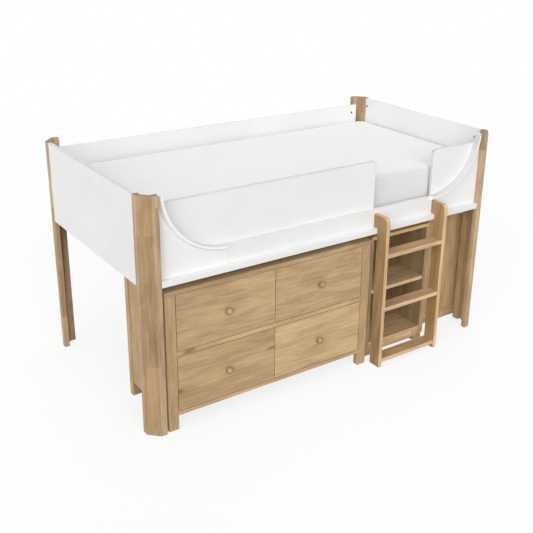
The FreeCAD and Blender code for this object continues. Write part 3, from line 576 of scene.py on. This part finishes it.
def nearest_outline(flat, half):
    """For a place in plan: the nearest place on the round-cornered outline, the way out and the depth."""
    core = Vector((
        max(COVER_CORNER - half.x, min(half.x - COVER_CORNER, flat.x)),
        max(COVER_CORNER - half.y, min(half.y - COVER_CORNER, flat.y)),
    ))
    reach = flat - core
    if reach.length > TINY:
        outward = reach.normalized()
        depth = COVER_CORNER - max(abs(reach.x), abs(reach.y))
        return core + outward * COVER_CORNER, outward, depth
    gap_x, gap_y = half.x - abs(flat.x), half.y - abs(flat.y)
    if gap_x < gap_y:
        outward = Vector((math.copysign(1.0, flat.x), 0))
    else:
        outward = Vector((0, math.copysign(1.0, flat.y)))
    depth = min(gap_x, gap_y)
    return flat + outward * depth, outward, depth


def cover_point(u, v, w, half):
    """A point of the cover about its centre, from a point of the grid."""
    outline, outward, depth = nearest_outline(Vector((u * half.x, v * half.y)), half)
    # section: a round edge, reached from the side up to its mitre and from above beyond it
    edge = UNDER_EDGE
    if w > 0:
        edge = TOP_EDGE_AT_ENDS + (TOP_EDGE_AT_SIDES - TOP_EDGE_AT_ENDS) * abs(outward.y)
    level = abs(w) > 1 - TINY
    lift = half.z - abs(w) * half.z
    if level:
        turn = math.radians(MITRE + MITRE * min(1.0, depth / edge))
    else:
        turn = math.radians(MITRE * (1.0 - min(1.0, lift / edge)))
    inward = depth if level and depth > edge else edge * (1 - math.cos(turn))
    plan = outline - outward * inward
    rise = half.z - edge + edge * math.sin(turn)
    if not level and lift > edge:
        rise = half.z - lift
    p = Vector((plan.x, plan.y, math.copysign(rise, w)))
    # bowed sides, drawn in between the corners
    bow = 1 - w * w
    p.x += math.copysign(SIDE_BOW, u) * bow * abs(u) ** SIDE_FADE
    p.y += math.copysign(SIDE_BOW, v) * bow * abs(v) ** SIDE_FADE
    p.y -= math.copysign(SIDE_DRAW, v) * (1 - u * u) * abs(v) ** 2
    # a low crown and slight unevenness in the cover, all inside the outline
    if w > 0:
        crown = (1 - u ** 4) * (1 - v ** 4)
        p.z += CROWN * (crown - 1) * w ** TOP_FADE
        ripple = noise.noise(Vector((p.x * RIPPLE_WAVES, p.y * RIPPLE_WAVES, RIPPLE_LAYER)))
        p.z += RIPPLE * (ripple - 1) * w ** TOP_FADE
    swell = noise.noise(Vector((p.x * SWELL_WAVES, p.y * SWELL_WAVES, p.z * SWELL_WAVES_UP)))
    p.x += SWELL * (swell - 1) * math.copysign(u ** SIDE_FADE, u)
    p.y += SWELL * (swell - 1) * math.copysign(v ** SIDE_FADE, v)
    return p


def soft_mattress():
    """A foam mattress: rounded edges, bowed sides, a low crown and slight unevenness in the cover."""
    low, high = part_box("mattress")
    centre = (low + high) / 2
    half = (high - low) / 2
    half.x += COVER_REACH
    points, quads = mattress_grid()
    placed = [tuple(cover_point(*point, half) + centre) for point in points]
    mesh = bpy.data.meshes.new("mattress cover")
    mesh.from_pydata(placed, [], quads)
    mesh.update()
    mesh.shade_smooth()
    piece = bpy.data.objects.new("mattress_soft", mesh)
    SCENE.collection.objects.link(piece)
    mesh.materials.append(knit("mattress knit"))
    return piece


FLOOR_SIZE = 60.0
# the floor as it lights the object, and as it shows: its paper, and the share of plain white over it
FLOOR_TONE, FLOOR_SHOWN, FLOOR_GLOW_SHARE = 0.38, 0.96, 0.80
# the white background as it lights the object, and as it shows
AROUND_STRENGTH, SHOWN_STRENGTH = 0.34, 1.0
# the direction towards each lamp, its strength, and how wide it is in degrees
LAMPS = {
    "key": ((-0.14, -0.94, 0.48), 1.12, 30.0),
    "top": ((0.05, -0.10, 1.00), 0.70, 70.0),
    "side": ((-0.86, -0.48, 0.36), 1.93, 50.0),
    "back": ((0.62, 0.72, 0.30), 1.10, 60.0),
}


def shown_rays(graph):
    """One for rays whose background shows: straight, mirrored or through glass."""
    path = graph.add("ShaderNodeLightPath").outputs
    mirrored = graph.math("MAXIMUM", path["Is Glossy Ray"], path["Is Transmission Ray"])
    return graph.math("MAXIMUM", path["Is Camera Ray"], mirrored)


def studio():
    """A pale floor and a white background under soft lamps, strongest from the left and the front."""
    bpy.ops.mesh.primitive_plane_add(size=FLOOR_SIZE, location=(0, 0, 0))
    floor = bpy.context.object
    floor.name = "studio_floor"
    made, g = material("studio floor")
    seen = shown_rays(g)
    paper = g.add("ShaderNodeBsdfDiffuse", {"Color": g.mix(seen, grey(FLOOR_TONE), grey(FLOOR_SHOWN))})
    glow = g.add("ShaderNodeEmission", {"Color": grey(1.0), "Strength": 1.0})
    share = g.math("MULTIPLY", seen, FLOOR_GLOW_SHARE)
    shader = g.add("ShaderNodeMixShader", {0: share, 1: paper.outputs[0], 2: glow.outputs[0]})
    g.add("ShaderNodeOutputMaterial", {"Surface": shader.outputs[0]})
    floor.data.materials.append(made)

    world = bpy.data.worlds.new("studio")
    SCENE.world = world
    world.use_nodes = True
    g = Graph(world.node_tree)
    around = g.add("ShaderNodeBackground", {"Color": grey(1.0), "Strength": AROUND_STRENGTH})
    plain = g.add("ShaderNodeBackground", {"Color": grey(1.0), "Strength": SHOWN_STRENGTH})
    shown = g.add("ShaderNodeMixShader", {0: shown_rays(g), 1: around.outputs[0], 2: plain.outputs[0]})
    g.add("ShaderNodeOutputWorld", {"Surface": shown.outputs[0]})

    for name, (towards, strength, width) in LAMPS.items():
        light = bpy.data.lights.new(name, "SUN")
        light.energy = strength
        light.angle = math.radians(width)
        lamp = bpy.data.objects.new(name, light)
        lamp.rotation_euler = Vector(towards).to_track_quat("Z", "Y").to_euler()
        SCENE.collection.objects.link(lamp)


# the photo's camera, solved from its straight edges: metres, degrees, millimetres and shares of the width
CAMERA_PLACE = (-2.2991, -3.2809, 2.1204)
YAW, PITCH, ROLL = 35.119, -21.334, 0.875
LENS, SENSOR = 56.70, 36.0
SHIFT_X, SHIFT_Y = -0.02368, -0.05238
CLIP_END = 200.0


def photo_camera():
    yaw, pitch, roll = (math.radians(angle) for angle in (YAW, PITCH, ROLL))
    ahead = Vector((math.sin(yaw) * math.cos(pitch), math.cos(yaw) * math.cos(pitch), math.sin(pitch)))
    level = Vector((math.cos(yaw), -math.sin(yaw), 0.0))
    upright = level.cross(ahead)
    right = level * math.cos(roll) + upright * math.sin(roll)
    up = upright * math.cos(roll) - level * math.sin(roll)
    turn = Matrix((right, up, -ahead)).transposed()
    lens = bpy.data.cameras.new("photo camera")
    lens.sensor_width = SENSOR
    lens.lens = LENS
    lens.shift_x = SHIFT_X
    lens.shift_y = SHIFT_Y
    lens.clip_end = CLIP_END
    camera = bpy.data.objects.new("photo camera", lens)
    camera.matrix_world = Matrix.Translation(CAMERA_PLACE) @ turn.to_4x4()
    SCENE.collection.objects.link(camera)
    SCENE.camera = camera


dress_frame()
mattress = soft_mattress()
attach(mattress, "bed")
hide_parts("mattress")
studio()
photo_camera()
SCENE.view_settings.view_transform = "Standard"
